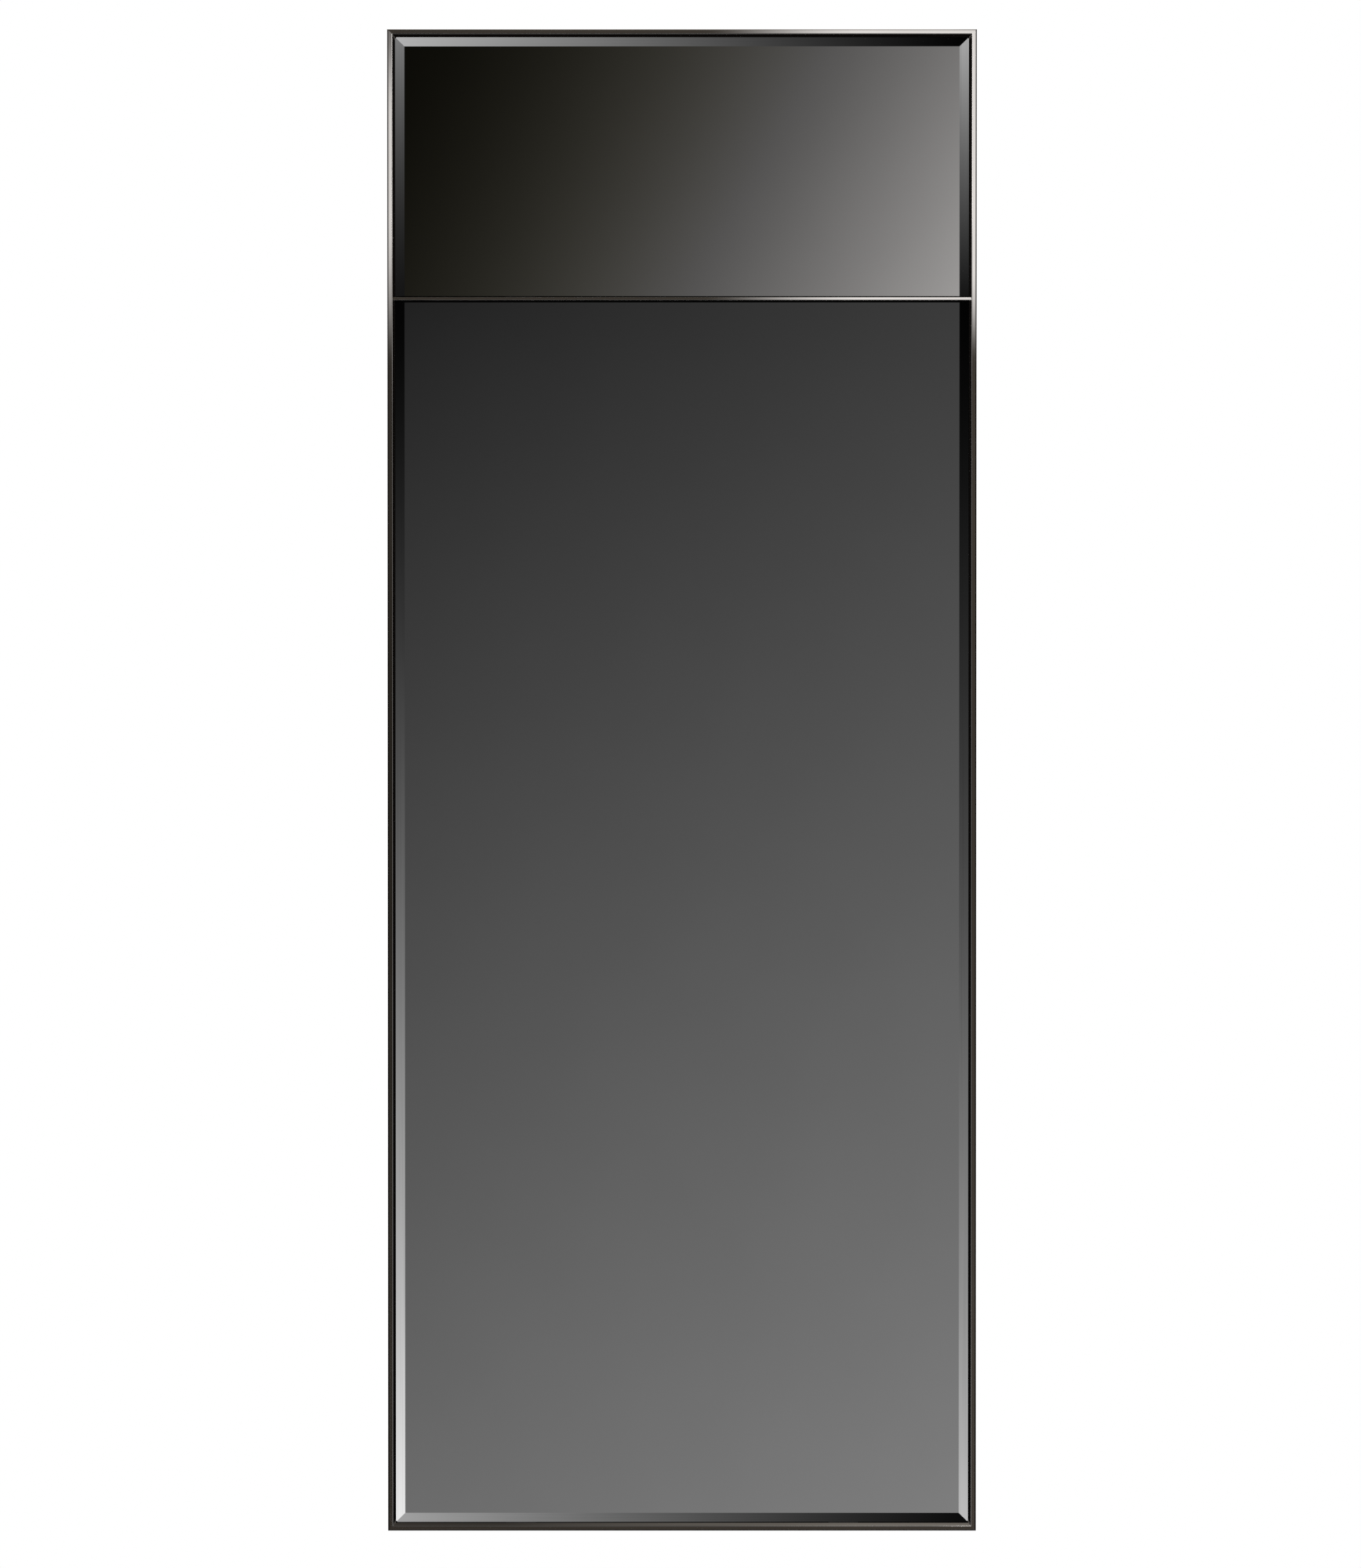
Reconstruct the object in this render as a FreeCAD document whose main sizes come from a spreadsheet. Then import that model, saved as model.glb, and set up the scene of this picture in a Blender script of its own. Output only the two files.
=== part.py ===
import FreeCAD, Part
import math
import os
import Sketcher

# A tall wall mirror: two panes with bevelled outer edges, floating in a slim mitred metal frame with
# a thin cross rail between them. The panes are bonded to one back panel, which is screwed to a ledge
# at the back of the frame bars. A bevelled cleat on the panel hangs on a matching cleat on the wall.
#
# The wall is the plane y = 0. The mirror faces -Y, +X is to the viewer's right and +Z is up. The
# origin lies on the wall, midway between the screw holes of the wall cleat.

# Driving dimensions in millimetres: name, size, meaning
DIMENSIONS = (
    ("overall_width", 800, "outside of the frame, left to right"),
    ("overall_height", 2040, "outside of the frame, bottom to top"),
    ("bar_width", 10.4, "frame bar, across its face and its lip"),
    ("face_fall", 0.85, "outer edge of a frame bar's face, behind its inner edge"),
    ("lip_width", 3.6, "lip that slopes from the face of a bar to the glass, across the bar"),
    ("lip_depth", 3.6, "foot of the lip, behind the inner edge of the face"),
    ("outer_arris", 2.4, "rounded outer edge of a frame bar's face"),
    ("inner_arris", 1, "rounded edge between the face of a bar and its lip"),
    ("ledge_width", 16, "ledge behind the panel, from the inner wall of the bar"),
    ("ledge_thickness", 3.5, "ledge, front to back"),
    ("frame_proud", 2.1, "inner edge of the frame's face in front of the glass"),
    ("cross_drop", 365.5, "top of the frame down to the middle of the cross rail"),
    ("cross_width", 4, "face of the cross rail"),
    ("cross_fall", 0.7, "upper edge of the cross rail's face, behind its lower edge"),
    ("cross_arris", 0.4, "rounded edges of the cross rail"),
    ("cross_setback", 0.3, "lower edge of the cross rail's face behind the frame's inner edge"),
    ("cross_flange_width", 24, "foot of the cross rail on the panel"),
    ("flange_clearance", 0.4, "foot of the cross rail to the film in front of it"),
    ("cope_gap", 0.05, "end of the cross rail to the stile"),
    ("side_reveal", 0.4, "edge of the glass to a stile"),
    ("top_reveal", 0.4, "edge of the glass to the top rail"),
    ("bottom_reveal", 1.3, "edge of the glass to the bottom rail"),
    ("upper_cross_reveal", 1.6, "edge of the upper pane to the cross rail"),
    ("lower_cross_reveal", 3, "edge of the lower pane to the cross rail"),
    ("glass_thickness", 6, "glass of a pane"),
    ("bevel_width", 12.7, "bevel across the face of a pane"),
    ("bevel_depth", 1.5, "bevel down the edge of a pane"),
    ("corner_dub", 2, "what is ground off each bevelled corner of a pane"),
    ("film_thickness", 0.3, "backing film behind the silvered face"),
    ("film_margin", 1, "edge of the backing film to the edge of its pane"),
    ("tape_thickness", 1.6, "mounting tape between the film and the panel"),
    ("tape_width", 25, "one strip of mounting tape"),
    ("tape_inset", 149, "middle of the outer strips to the side of the pane"),
    ("tape_margin", 40, "end of a strip to the edge of the pane"),
    ("block_length", 40, "setting block along the rail"),
    ("block_inset", 150, "end of a setting block to the side of the pane"),
    ("panel_thickness", 9, "back panel"),
    ("panel_clearance", 0.5, "edge of the back panel to the frame"),
    ("plate_leg", 70, "corner plate, length of each leg"),
    ("plate_width", 16, "corner plate, width of each leg"),
    ("plate_thickness", 1.5, "corner plate"),
    ("plate_hole_set", 4, "inner wall of a bar to the line of its plate screws"),
    ("plate_hole_near", 30, "outside of the frame to the first plate screw"),
    ("plate_hole_far", 58, "outside of the frame to the second plate screw"),
    ("cleat_drop", 250, "top of the frame down to the holes of the wall cleat"),
    ("cleat_thickness", 6.5, "both cleats, front to back, and so the rise of their bevels"),
    ("cleat_height", 38, "both cleats, plain edge to the point of the bevel"),
    ("cleat_lip", 1, "blunt edge at the point of the bevel"),
    ("cleat_hole_set", 14, "plain edge of a cleat to its holes"),
    ("cleat_clearance", 0.25, "wall cleat to the panel, and mirror cleat to the wall"),
    ("wall_cleat_end", 57, "outer wall hole to the end of the wall cleat"),
    ("mirror_cleat_gap", 73.6, "end of the mirror cleat to the ledge of the frame"),
    ("stud_spacing", 406.4, "outer pair of wall holes, one wall stud apart"),
    ("anchor_spacing", 200, "inner pair of wall holes"),
    ("wall_hole_diameter", 6, "wall holes"),
    ("wall_recess_diameter", 12.5, "recess for the head of a wall screw"),
    ("wall_recess_depth", 3.4, "recess for the head of a wall screw"),
    ("pad_diameter", 25, "lower spacer pad"),
    ("pad_rounding", 1.5, "rounded edge of a spacer pad"),
    ("pad_inset_side", 90, "middle of a spacer pad to the side of the frame"),
    ("pad_inset_bottom", 90, "middle of a spacer pad to the bottom of the frame"),
    ("screw_clearance", 0.05, "screw shank to the wall of its hole"),
    ("screw_tip", 1.2, "tapered tip of a screw"),
    ("hole_spare_depth", 0.4, "blind hole past the tip of its screw"),
    ("recess_depth", 0.8, "cross recess in a screw head, depth"),
    ("recess_length", 3.6, "cross recess in a screw head, across"),
    ("recess_width", 0.9, "cross recess in a screw head, width of a slot"),
    ("panel_screw_diameter", 3.5, "panel screw shank"),
    ("panel_screw_bite", 6, "panel screw in the panel"),
    ("panel_screw_head", 7, "panel screw head, diameter"),
    ("panel_screw_head_height", 2.2, "panel screw head"),
    ("panel_screw_pitch", 300, "spacing of the panel screws"),
    ("panel_screw_margin", 110, "least distance from a corner to a panel screw"),
    ("plate_screw_diameter", 4, "corner plate screw shank"),
    ("plate_screw_head", 7, "corner plate screw head, diameter"),
    ("plate_screw_head_height", 1.4, "corner plate screw head"),
    ("cleat_screw_diameter", 4, "mirror cleat screw shank"),
    ("cleat_screw_bite", 6.5, "mirror cleat screw in the panel"),
    ("cleat_screw_head", 8, "mirror cleat screw head, diameter"),
    ("cleat_screw_head_height", 2.5, "mirror cleat screw head"),
    ("cleat_screw_margin", 45, "end of the mirror cleat to its first screw"),
    ("cleat_recess_play", 0.3, "head of a mirror cleat screw to the side of its recess"),
    ("cleat_recess_spare", 0.2, "head of a mirror cleat screw below the face of the cleat"),
    ("cross_screw_diameter", 2.5, "cross rail screw shank"),
    ("cross_screw_bite", 5, "cross rail screw in the rail, past its foot"),
    ("cross_screw_head", 6, "cross rail screw head, diameter"),
    ("cross_screw_head_height", 2, "cross rail screw head"),
    ("cross_screw_margin", 52, "stile to the first cross rail screw"),
)

# How many of each repeated piece
TAPE_STRIPS = 3
CLEAT_SCREWS = 4
CROSS_SCREWS = 5

# Distances in front of the wall, from the dimensions
STANDOFF = "(Dims.cleat_thickness + Dims.cleat_clearance)"
FRAME_BACK = f"({STANDOFF} - Dims.ledge_thickness)"
PANEL_FRONT = f"({STANDOFF} + Dims.panel_thickness)"
FILM_BACK = f"({PANEL_FRONT} + Dims.tape_thickness)"
GLASS_BACK = f"({FILM_BACK} + Dims.film_thickness)"
FRAME_FRONT = f"({GLASS_BACK} + Dims.glass_thickness + Dims.frame_proud)"
BAR_DEPTH = f"({FRAME_FRONT} - {FRAME_BACK})"
CROSS_DEPTH = f"({FRAME_FRONT} - {PANEL_FRONT})"

# Heights above the wall holes and sizes across, from the dimensions
OPENING_WIDTH = "(Dims.overall_width - 2 * Dims.bar_width)"
FRAME_BOTTOM = "(Dims.cleat_drop - Dims.overall_height)"
CROSS_HEIGHT = "(Dims.cleat_drop - Dims.cross_drop)"
CROSS_TOP = f"({CROSS_HEIGHT} + Dims.cross_width / 2)"
UPPER_PANE_BOTTOM = f"({CROSS_TOP} + Dims.upper_cross_reveal)"
UPPER_PANE_TOP = "(Dims.cleat_drop - Dims.bar_width - Dims.top_reveal)"
LOWER_PANE_BOTTOM = f"({FRAME_BOTTOM} + Dims.bar_width + Dims.bottom_reveal)"
LOWER_PANE_TOP = f"({CROSS_HEIGHT} - Dims.cross_width / 2 - Dims.lower_cross_reveal)"
PANE_WIDTH = f"({OPENING_WIDTH} - 2 * Dims.side_reveal)"
TAPE_PITCH = f"(({PANE_WIDTH} - 2 * Dims.tape_inset) / {TAPE_STRIPS - 1})"
EDGE_THICKNESS = "(Dims.glass_thickness - Dims.bevel_depth)"
FLANGE_THICKNESS = "(Dims.tape_thickness - Dims.flange_clearance)"
PANEL_EDGE = "(Dims.bar_width + Dims.panel_clearance)"
MIRROR_CLEAT_POINT = (
    "(Dims.cleat_height - Dims.cleat_hole_set - Dims.cleat_thickness + Dims.cleat_clearance)"
)
CLEAT_SCREW_HEIGHT = f"({MIRROR_CLEAT_POINT} + Dims.cleat_height - Dims.cleat_hole_set)"
CLEAT_RECESS_DEPTH = "(Dims.cleat_screw_head_height + Dims.cleat_recess_spare)"
WALL_CLEAT_LENGTH = "(Dims.stud_spacing + 2 * Dims.wall_cleat_end)"
MIRROR_CLEAT_LENGTH = f"({OPENING_WIDTH} - 2 * Dims.ledge_width - 2 * Dims.mirror_cleat_gap)"
CLEAT_SCREW_PITCH = (
    f"(({MIRROR_CLEAT_LENGTH} - 2 * Dims.cleat_screw_margin) / {CLEAT_SCREWS - 1})"
)
CROSS_SCREW_PITCH = f"(({OPENING_WIDTH} - 2 * Dims.cross_screw_margin) / {CROSS_SCREWS - 1})"

# Places on a frame bar, across it from its outer face
LEDGE_HOLE = "(Dims.bar_width + Dims.ledge_width / 2)"
PLATE_HOLE = "(Dims.bar_width + Dims.plate_hole_set)"
PLATE_EDGE = f"({PLATE_HOLE} - Dims.plate_width / 2)"
BAR_BACK_WIDTH = "(Dims.bar_width + Dims.ledge_width)"
FACE_WIDTH = "(Dims.bar_width - Dims.lip_width)"

# Numbers by which a sketch knows the points of a curve, and its own origin and axes
START, END, CENTRE = range(1, 4)
HORIZONTAL_AXIS = -1
VERTICAL_AXIS = HORIZONTAL_AXIS - 1
ORIGIN = HORIZONTAL_AXIS
QUARTER_TURN = 90
MEASURE_TOLERANCE = 1e-6

doc = FreeCAD.newDocument("WallMirror")
dims = doc.addObject("Spreadsheet::Sheet", "Dims")
for row, (alias, size, meaning) in enumerate(DIMENSIONS, start=1):
    dims.set(f"A{row}", alias)
    dims.set(f"B{row}", str(size))
    dims.setAlias(f"B{row}", alias)
    dims.set(f"C{row}", meaning)
doc.recompute()

subparts = []


def value(formula):
    """The number that a formula of the sheet's names gives."""
    return float(dims.evalExpression(formula))


def spread(count, pitch, middle):
    """Formulas for evenly spaced places about a middle."""
    return [f"({middle} + {index - (count - 1) / 2} * {pitch})" for index in range(count)]


def place(thing, across, depth, height, turn=0):
    """Puts a sub-part in the mirror, turned about the Y axis by whole degrees."""
    thing.Placement = FreeCAD.Placement(FreeCAD.Vector(), FreeCAD.Rotation(FreeCAD.Vector(0, 1, 0), turn))
    for axis, formula in zip("xyz", (across, depth, height)):
        thing.setExpression(f"Placement.Base.{axis}", formula)


def new_body(name):
    """A body that becomes one sub-part."""
    body = doc.addObject("PartDesign::Body", name)
    body.Label = name
    return body


def keep(thing):
    """Lists a finished object as a sub-part, which is written under its label."""
    subparts.append(thing)
    return thing


# Sketches

def new_sketch(body, purpose, plane, ahead="0"):
    """A sketch on one of the body's own planes, moved along that plane's normal."""
    sketch = body.newObject("Sketcher::SketchObject", f"{body.Name}_{purpose}")
    base = [feature for feature in body.Origin.OriginFeatures if feature.Role == plane][0]
    sketch.AttachmentSupport = [(base, "")]
    sketch.MapMode = "FlatFace"
    sketch.setExpression("AttachmentOffset.Base.z", ahead)
    return sketch


def bind(sketch, *constraint, formula):
    """Adds a dimension to a sketch and ties it to a formula."""
    index = sketch.addConstraint(Sketcher.Constraint(*constraint, value(formula)))
    sketch.setExpression(f"Constraints[{index}]", formula)


def fix_point(sketch, curve, end, across, up):
    """Ties a point of a curve to its distances from the sketch's origin."""
    for kind, axis, formula in (
        ("DistanceX", VERTICAL_AXIS, across),
        ("DistanceY", HORIZONTAL_AXIS, up),
    ):
        if formula == "0":
            sketch.addConstraint(Sketcher.Constraint("PointOnObject", curve, end, axis))
        else:
            bind(sketch, kind, ORIGIN, START, curve, end, formula=formula)


def add_line(sketch, start, end):
    """A straight line between two points given as numbers."""
    return sketch.addGeometry(Part.LineSegment(FreeCAD.Vector(*start), FreeCAD.Vector(*end)))


def draw_outline(sketch, corners):
    """A closed outline with straight sides, from pairs of formulas."""
    points = [(value(across), value(up)) for across, up in corners]
    lines = [add_line(sketch, *pair) for pair in zip(points, points[1:] + points[:1])]
    for line, following in zip(lines, lines[1:] + lines[:1]):
        sketch.addConstraint(Sketcher.Constraint("Coincident", line, END, following, START))
    for line, (across, up) in zip(lines, corners):
        fix_point(sketch, line, START, across, up)


def draw_rectangle(sketch, left, bottom, right, top):
    """A rectangle between two corners."""
    draw_outline(sketch, [(left, bottom), (right, bottom), (right, top), (left, top)])


def draw_centred_rectangle(sketch, width, height):
    """A rectangle about the sketch's origin."""
    half_width = value(width) / 2
    half_height = value(height) / 2
    points = [
        (-half_width, -half_height),
        (half_width, -half_height),
        (half_width, half_height),
        (-half_width, half_height),
    ]
    bottom, right, top, left = (
        add_line(sketch, *pair) for pair in zip(points, points[1:] + points[:1])
    )
    for line, following in ((bottom, right), (right, top), (top, left), (left, bottom)):
        sketch.addConstraint(Sketcher.Constraint("Coincident", line, END, following, START))
    sketch.addConstraint(Sketcher.Constraint("Horizontal", bottom))
    sketch.addConstraint(Sketcher.Constraint("Vertical", right))
    sketch.addConstraint(Sketcher.Constraint("Horizontal", top))
    sketch.addConstraint(Sketcher.Constraint("Vertical", left))
    sketch.addConstraint(Sketcher.Constraint("Symmetric", bottom, START, top, START, ORIGIN, START))
    bind(sketch, "DistanceX", bottom, START, bottom, END, formula=width)
    bind(sketch, "DistanceY", right, START, right, END, formula=height)


def draw_circles(sketch, centres, diameter):
    """Equal circles about pairs of formulas."""
    for across, up in centres:
        centre = FreeCAD.Vector(value(across), value(up))
        circle = sketch.addGeometry(Part.Circle(centre, FreeCAD.Vector(0, 0, 1), value(diameter) / 2))
        fix_point(sketch, circle, CENTRE, across, up)
        bind(sketch, "Diameter", circle, formula=diameter)


# Features

def add_pad(body, sketch, length):
    """Extrudes a sketch along its normal."""
    feature = body.newObject("PartDesign::Pad", f"{sketch.Name}_pad")
    feature.Profile = sketch
    feature.setExpression("Length", length)
    doc.recompute()
    return feature


def add_pocket(body, sketch, depth=None):
    """Cuts a sketch right through, or to a depth along its normal, and makes sure that it cut."""
    doc.recompute()
    volume = body.Shape.Volume
    feature = body.newObject("PartDesign::Pocket", f"{sketch.Name}_pocket")
    feature.Profile = sketch
    if depth is None:
        feature.Type = "ThroughAll"
        feature.SideType = "Symmetric"
    else:
        feature.Reversed = True
        feature.setExpression("Length", depth)
    doc.recompute()
    if not body.Shape.Volume < volume:
        raise RuntimeError(f"{feature.Name} cuts nothing")
    return feature


def add_fillet(body, base, radius, is_wanted):
    """Rounds the edges of a feature that a test picks."""
    edges = [f"Edge{index}" for index, edge in enumerate(base.Shape.Edges, start=1) if is_wanted(edge)]
    feature = body.newObject("PartDesign::Fillet", f"{base.Name}_fillet")
    feature.Base = (base, edges)
    feature.setExpression("Radius", radius)
    doc.recompute()
    return feature


def add_box(name, size, across, depth, height):
    """A block of a given size with its least corner at a place."""
    box = doc.addObject("Part::Box", name)
    for side, formula in zip(("Length", "Width", "Height"), size):
        box.setExpression(side, formula)
    place(box, across, depth, height)
    return box


def add_group(name, members):
    """Several separate solids in one sub-part."""
    group = doc.addObject("Part::Compound", name)
    group.Label = name
    group.Links = members
    return group


def near(number, formula):
    """Whether a measured number is the one that a formula gives."""
    return math.isclose(number, value(formula), abs_tol=MEASURE_TOLERANCE)


# Frame bars

def draw_bar_section(sketch):
    """Section of a frame bar: face that falls away outwards, lip beside the glass, and ledge behind."""
    ledge_front = f"({BAR_DEPTH} - Dims.ledge_thickness)"
    draw_outline(sketch, [
        ("0", "Dims.face_fall"),
        ("0", BAR_DEPTH),
        (BAR_BACK_WIDTH, BAR_DEPTH),
        (BAR_BACK_WIDTH, ledge_front),
        ("Dims.bar_width", ledge_front),
        ("Dims.bar_width", "Dims.lip_depth"),
        (FACE_WIDTH, "0"),
    ])


def runs_along(edge, depth, length):
    """Whether an edge of a bar runs its whole length at a depth behind its front."""
    return near(edge.BoundBox.YMax, depth) and near(edge.BoundBox.ZLength, length)


def panel_screw_places(length):
    """Places of the panel screws along a frame bar of a given length."""
    run = value(f"{length} - 2 * Dims.panel_screw_margin")
    count = math.floor(run / value("Dims.panel_screw_pitch")) + 1
    return spread(count, "Dims.panel_screw_pitch", f"{length} / 2")


def plate_screw_places(length):
    """Places of the corner plate screws along a frame bar of a given length."""
    holes = ("Dims.plate_hole_near", "Dims.plate_hole_far")
    return [*holes, *(f"({length} - {hole})" for hole in holes)]


def make_bar(name, length, across, height, turn):
    """One frame bar, drawn from its outer corner with its length along Z, mitred at both ends."""
    body = new_body(name)
    section = new_sketch(body, "section", "XY_Plane")
    draw_bar_section(section)
    bar = add_pad(body, section, length)

    for depth, radius in (("Dims.face_fall", "Dims.outer_arris"), ("0", "Dims.inner_arris")):
        bar = add_fillet(body, bar, radius, lambda edge: runs_along(edge, depth, length))

    mitre = new_sketch(body, "mitre", "XZ_Plane")
    reach = BAR_BACK_WIDTH
    draw_outline(mitre, [("0", "0"), (reach, "0"), (reach, reach)])
    draw_outline(mitre, [("0", length), (reach, f"{length} - {reach}"), (reach, length)])
    add_pocket(body, mitre)

    panel_holes = new_sketch(body, "panel_holes", "XZ_Plane")
    draw_circles(
        panel_holes,
        [(LEDGE_HOLE, up) for up in panel_screw_places(length)],
        "(Dims.panel_screw_diameter + 2 * Dims.screw_clearance)",
    )
    add_pocket(body, panel_holes)

    plate_holes = new_sketch(body, "plate_holes", "XZ_Plane")
    draw_circles(
        plate_holes,
        [(PLATE_HOLE, up) for up in plate_screw_places(length)],
        "(Dims.plate_screw_diameter + 2 * Dims.screw_clearance)",
    )
    add_pocket(body, plate_holes)
    place(body, across, f"-{FRAME_FRONT}", height, turn)
    return keep(body)


LEFT = "-Dims.overall_width / 2"
RIGHT = "Dims.overall_width / 2"
TOP = "Dims.cleat_drop"
CORNERS = (
    ("bottom_left", LEFT, FRAME_BOTTOM),
    ("top_left", LEFT, TOP),
    ("top_right", RIGHT, TOP),
    ("bottom_right", RIGHT, FRAME_BOTTOM),
)
BARS = (
    ("left_stile", "Dims.overall_height"),
    ("top_rail", "Dims.overall_width"),
    ("right_stile", "Dims.overall_height"),
    ("bottom_rail", "Dims.overall_width"),
)
for quarter, ((bar, length), (_, across, height)) in enumerate(zip(BARS, CORNERS)):
    make_bar(bar, length, across, height, quarter * QUARTER_TURN)


# Cross rail

CROSS_LENGTH = f"({OPENING_WIDTH} + 2 * Dims.lip_width)"
CROSS_SCREW_PLACES = spread(CROSS_SCREWS, CROSS_SCREW_PITCH, f"{CROSS_LENGTH} / 2")


def draw_cope(sketch, end, inwards):
    """What the lip and the inner wall of a stile take from one end of the rail."""
    face_edge = f"({end} {inwards} Dims.cope_gap)"
    wall = f"({end} {inwards} (Dims.lip_width + Dims.cope_gap))"
    draw_outline(sketch, [
        (end, "0"),
        (face_edge, "0"),
        (wall, "Dims.lip_depth"),
        (wall, CROSS_DEPTH),
        (end, CROSS_DEPTH),
    ])


def make_cross_rail():
    """The T-shaped bar between the panes, drawn from its left end and the face of the frame."""
    body = new_body("cross_rail")
    low = "(Dims.cross_flange_width / 2 - Dims.cross_width / 2)"
    high = "(Dims.cross_flange_width / 2 + Dims.cross_width / 2)"
    upper_front = "(Dims.cross_setback + Dims.cross_fall)"
    foot = f"({CROSS_DEPTH} - {FLANGE_THICKNESS})"
    section = new_sketch(body, "section", "YZ_Plane")
    draw_outline(section, [
        ("Dims.cross_setback", low),
        (foot, low),
        (foot, "0"),
        (CROSS_DEPTH, "0"),
        (CROSS_DEPTH, "Dims.cross_flange_width"),
        (foot, "Dims.cross_flange_width"),
        (foot, high),
        (upper_front, high),
    ])
    rail = add_pad(body, section, CROSS_LENGTH)

    def is_front_edge(edge):
        box = edge.BoundBox
        is_front = near(box.YMax, "Dims.cross_setback") or near(box.YMax, upper_front)
        return is_front and near(box.XLength, CROSS_LENGTH)

    add_fillet(body, rail, "Dims.cross_arris", is_front_edge)

    cope = new_sketch(body, "cope", "XY_Plane")
    draw_cope(cope, "0", "+")
    draw_cope(cope, CROSS_LENGTH, "-")
    add_pocket(body, cope)

    holes = new_sketch(body, "screw_holes", "XZ_Plane", f"-{CROSS_DEPTH}")
    draw_circles(
        holes,
        [(across, "Dims.cross_flange_width / 2") for across in CROSS_SCREW_PLACES],
        "(Dims.cross_screw_diameter + 2 * Dims.screw_clearance)",
    )
    add_pocket(body, holes, f"{FLANGE_THICKNESS} + Dims.cross_screw_bite + Dims.hole_spare_depth")
    place(
        body,
        f"-{CROSS_LENGTH} / 2",
        f"-{FRAME_FRONT}",
        f"{CROSS_HEIGHT} - Dims.cross_flange_width / 2",
    )
    return keep(body)


make_cross_rail()


# Corner plates

def make_corner_plate(name, across, height, turn):
    """An L-shaped plate behind a mitre, with two screws in each bar."""
    body = new_body(name)
    leg_end = f"({PLATE_EDGE} + Dims.plate_leg)"
    inner_edge = f"({PLATE_EDGE} + Dims.plate_width)"
    outline = new_sketch(body, "outline", "XZ_Plane")
    draw_outline(outline, [
        (PLATE_EDGE, PLATE_EDGE),
        (leg_end, PLATE_EDGE),
        (leg_end, inner_edge),
        (inner_edge, inner_edge),
        (inner_edge, leg_end),
        (PLATE_EDGE, leg_end),
    ])
    add_pad(body, outline, "Dims.plate_thickness")
    holes = new_sketch(body, "screw_holes", "XZ_Plane")
    along = ("Dims.plate_hole_near", "Dims.plate_hole_far")
    draw_circles(
        holes,
        [(PLATE_HOLE, hole) for hole in along] + [(hole, PLATE_HOLE) for hole in along],
        "(Dims.plate_screw_diameter + 2 * Dims.screw_clearance)",
    )
    add_pocket(body, holes)
    place(body, across, f"Dims.plate_thickness - {FRAME_BACK}", height, turn)
    return keep(body)


for quarter, (corner, across, height) in enumerate(CORNERS):
    make_corner_plate(f"{corner}_corner_plate", across, height, quarter * QUARTER_TURN)


# Mirror panes and what holds them

def make_pane(name, bottom, top, is_upper):
    """A pane with bevels on its sides and on its top or bottom edge, away from the cross rail."""
    body = new_body(name)
    height = f"({top} - {bottom})"
    slab_outline = new_sketch(body, "slab_outline", "XZ_Plane")
    draw_rectangle(slab_outline, "0", "0", PANE_WIDTH, height)
    add_pad(body, slab_outline, EDGE_THICKNESS)

    bevel_foot = new_sketch(body, "bevel_foot", "XZ_Plane", EDGE_THICKNESS)
    draw_rectangle(bevel_foot, "0", "0", PANE_WIDTH, height)
    face_outline = new_sketch(body, "face_outline", "XZ_Plane", "Dims.glass_thickness")
    draw_rectangle(
        face_outline,
        "Dims.bevel_width",
        "0" if is_upper else "Dims.bevel_width",
        f"({PANE_WIDTH} - Dims.bevel_width)",
        f"({height} - Dims.bevel_width)" if is_upper else height,
    )
    bevels = body.newObject("PartDesign::AdditiveLoft", f"{name}_bevels")
    bevels.Profile = bevel_foot
    bevels.Sections = [face_outline]
    bevels.Ruled = True

    dubs = new_sketch(body, "dubs", "XZ_Plane")
    edge = height if is_upper else "0"
    side_end = f"({height} - Dims.corner_dub)" if is_upper else "Dims.corner_dub"
    for side, edge_end in (("0", "Dims.corner_dub"), (PANE_WIDTH, f"({PANE_WIDTH} - Dims.corner_dub)")):
        draw_outline(dubs, [(side, edge), (edge_end, edge), (side, side_end)])
    add_pocket(body, dubs)
    place(body, f"-{PANE_WIDTH} / 2", f"-{GLASS_BACK}", bottom)
    return keep(body)


def make_backing_film(name, bottom, top):
    """The film that covers the silvered back of a pane."""
    width = f"({PANE_WIDTH} - 2 * Dims.film_margin)"
    size = (width, "Dims.film_thickness", f"{top} - {bottom} - 2 * Dims.film_margin")
    return keep(add_box(name, size, f"-{width} / 2", f"-{GLASS_BACK}", f"{bottom} + Dims.film_margin"))


def make_mounting_tape(name, bottom, top):
    """Upright strips of tape between the film and the back panel."""
    size = ("Dims.tape_width", "Dims.tape_thickness", f"{top} - {bottom} - 2 * Dims.tape_margin")
    strips = [
        add_box(
            f"{name}_{index}",
            size,
            f"{middle} - Dims.tape_width / 2",
            f"-{FILM_BACK}",
            f"{bottom} + Dims.tape_margin",
        )
        for index, middle in enumerate(spread(TAPE_STRIPS, TAPE_PITCH, "0"), start=1)
    ]
    return keep(add_group(name, strips))


def make_setting_blocks(name, seat, thickness):
    """Two pads that a pane stands on."""
    size = ("Dims.block_length", f"{EDGE_THICKNESS} + Dims.film_thickness", thickness)
    left = f"-{PANE_WIDTH} / 2 + Dims.block_inset"
    right = f"{PANE_WIDTH} / 2 - Dims.block_inset - Dims.block_length"
    blocks = [
        add_box(f"{name}_{side}", size, across, f"-{GLASS_BACK} - {EDGE_THICKNESS}", seat)
        for side, across in (("left", left), ("right", right))
    ]
    return keep(add_group(name, blocks))


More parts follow.
